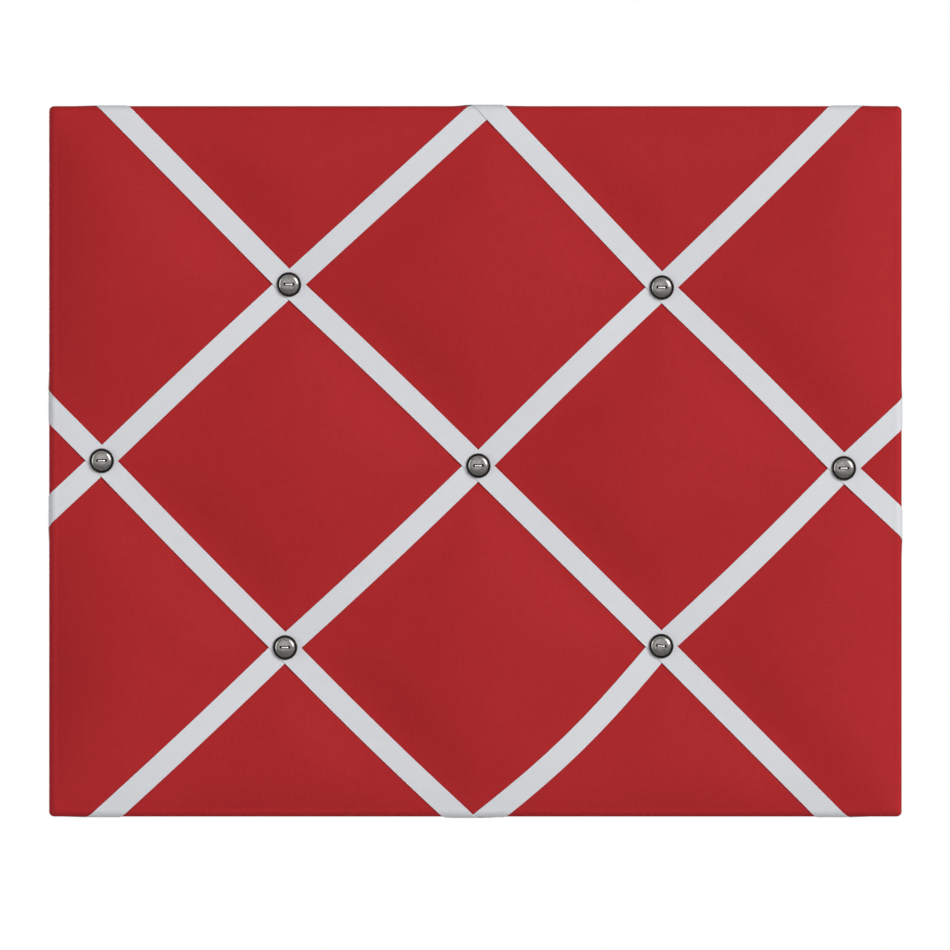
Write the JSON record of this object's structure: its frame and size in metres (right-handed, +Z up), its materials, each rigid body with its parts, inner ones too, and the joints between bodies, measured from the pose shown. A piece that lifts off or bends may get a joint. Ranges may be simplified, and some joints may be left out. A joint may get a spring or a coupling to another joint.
{
  "type": "french memo board",
  "caption": "Padded wall board covered in plain cloth, with a diamond lattice of ribbons that hold notes, a metal button at each crossing and D-ring hangers behind",
  "frame": {"origin": "centre of the back, on the rear face of the backing board, where it lies against the wall", "axes": "+Z up as hung, +X to the right seen from the front, the front faces -Y and the wall is at +Y"},
  "size_m": [0.4814, 0.0233, 0.403],
  "materials": {
    "red_cotton": "matte",
    "white_ribbon": "matte",
    "wadding": "matte",
    "hardboard": "matte",
    "aged_nickel": "satin",
    "zinc_steel": "satin"
  },
  "bodies": {
    "board": {"backing_board": "hardboard", "padding": "wadding", "fabric_cover": "red_cotton", "ribbon_falling_upper": "white_ribbon", "ribbon_falling_middle": "white_ribbon", "ribbon_falling_lower": "white_ribbon", "ribbon_rising_upper": "white_ribbon", "ribbon_rising_middle": "white_ribbon", "ribbon_rising_lower": "white_ribbon", "button_top_left": "aged_nickel", "button_top_right": "aged_nickel", "button_left": "aged_nickel", "button_centre": "aged_nickel", "button_right": "aged_nickel", "button_bottom_left": "aged_nickel", "button_bottom_right": "aged_nickel", "button_wire_top_left": "aged_nickel", "button_wire_top_right": "aged_nickel", "button_wire_left": "aged_nickel", "button_wire_centre": "aged_nickel", "button_wire_right": "aged_nickel", "button_wire_bottom_left": "aged_nickel", "button_wire_bottom_right": "aged_nickel", "staple_falling_upper_start": "zinc_steel", "staple_falling_upper_end": "zinc_steel", "staple_falling_middle_start": "zinc_steel", "staple_falling_middle_end": "zinc_steel", "staple_falling_lower_start": "zinc_steel", "staple_falling_lower_end": "zinc_steel", "staple_rising_upper_start": "zinc_steel", "staple_rising_upper_end": "zinc_steel", "staple_rising_middle_start": "zinc_steel", "staple_rising_middle_end": "zinc_steel", "staple_rising_lower_start": "zinc_steel", "staple_rising_lower_end": "zinc_steel", "staple_cover_top_1": "zinc_steel", "staple_cover_top_2": "zinc_steel", "staple_cover_bottom_1": "zinc_steel", "staple_cover_bottom_2": "zinc_steel", "staple_cover_left_1": "zinc_steel", "staple_cover_left_2": "zinc_steel", "staple_cover_right_1": "zinc_steel", "staple_cover_right_2": "zinc_steel", "hanger_strap_left": "zinc_steel", "hanger_strap_right": "zinc_steel", "hanger_screw_left": "zinc_steel", "hanger_screw_right": "zinc_steel"},
    "ring_left": {"hanger_ring_left": "zinc_steel"},
    "ring_right": {"hanger_ring_right": "zinc_steel"}
  },
  "joints": [
    {"name": "left_ring_hinge", "type": "hinge", "parent": "board", "child": "ring_left", "pos_m": [-0.15, 0.0024, 0.135], "axis": [-1, 0, 0], "range_deg": [-4, 175]},
    {"name": "right_ring_hinge", "type": "hinge", "parent": "board", "child": "ring_right", "pos_m": [0.15, 0.0024, 0.135], "axis": [-1, 0, 0], "range_deg": [-4, 175]}
  ]
}
